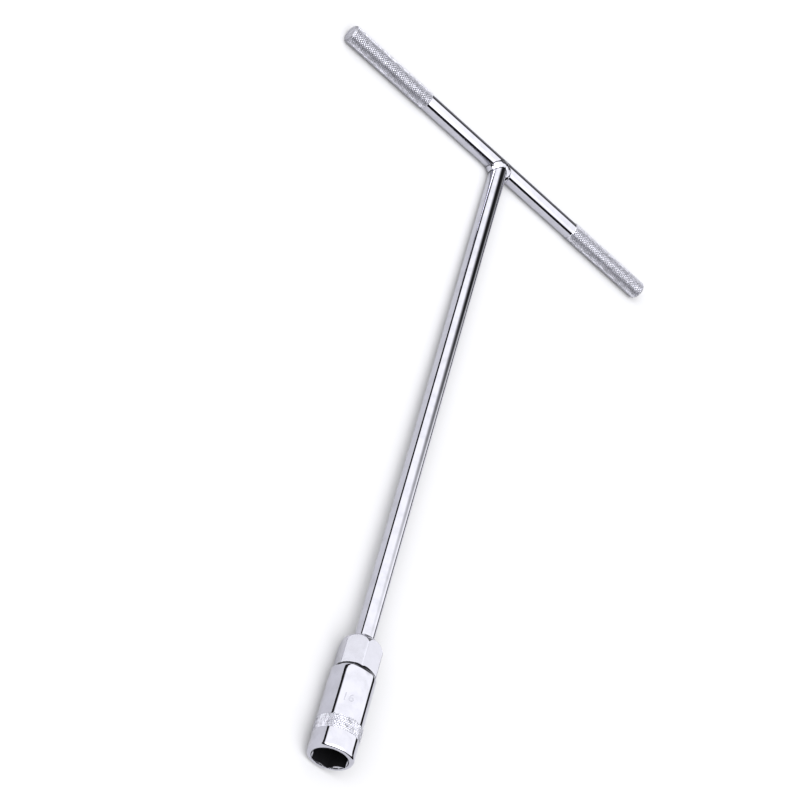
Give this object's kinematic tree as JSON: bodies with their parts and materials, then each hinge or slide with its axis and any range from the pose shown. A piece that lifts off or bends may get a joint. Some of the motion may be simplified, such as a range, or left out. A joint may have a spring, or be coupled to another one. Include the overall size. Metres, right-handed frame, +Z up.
{
  "type": "t-handle socket wrench",
  "caption": "T-handle socket wrench: knurled round crossbar welded across a long round shaft that carries a deep hexagon socket with a rubber spark plug grip.",
  "frame": {"origin": "on the bench top, under the middle of the tool's bounding box as it lies at rest", "axes": "+X along the crossbar, +Y along the shaft from the socket to the crossbar, +Z up from the bench; the shaft slopes down about 1 degree towards the crossbar, because the crossbar is thinner than the socket"},
  "size_m": [0.235, 0.392, 0.0233],
  "materials": {
    "bar_chrome": "bright chrome plate, knurled ends slightly satin",
    "shaft_chrome": "bright chrome plate on a polished rod",
    "weld_chrome": "chrome plate over a dressed weld",
    "socket_chrome": "satin chrome on the hexagon, bright chrome on the round body",
    "insert_rubber": "matt black moulded rubber"
  },
  "bodies": {
    "root": {"crossbar": "bar_chrome", "shaft": "shaft_chrome", "tee_weld": "weld_chrome", "socket": "socket_chrome", "socket_weld": "weld_chrome", "plug_grip_insert": "insert_rubber"}
  },
  "joints": []
}
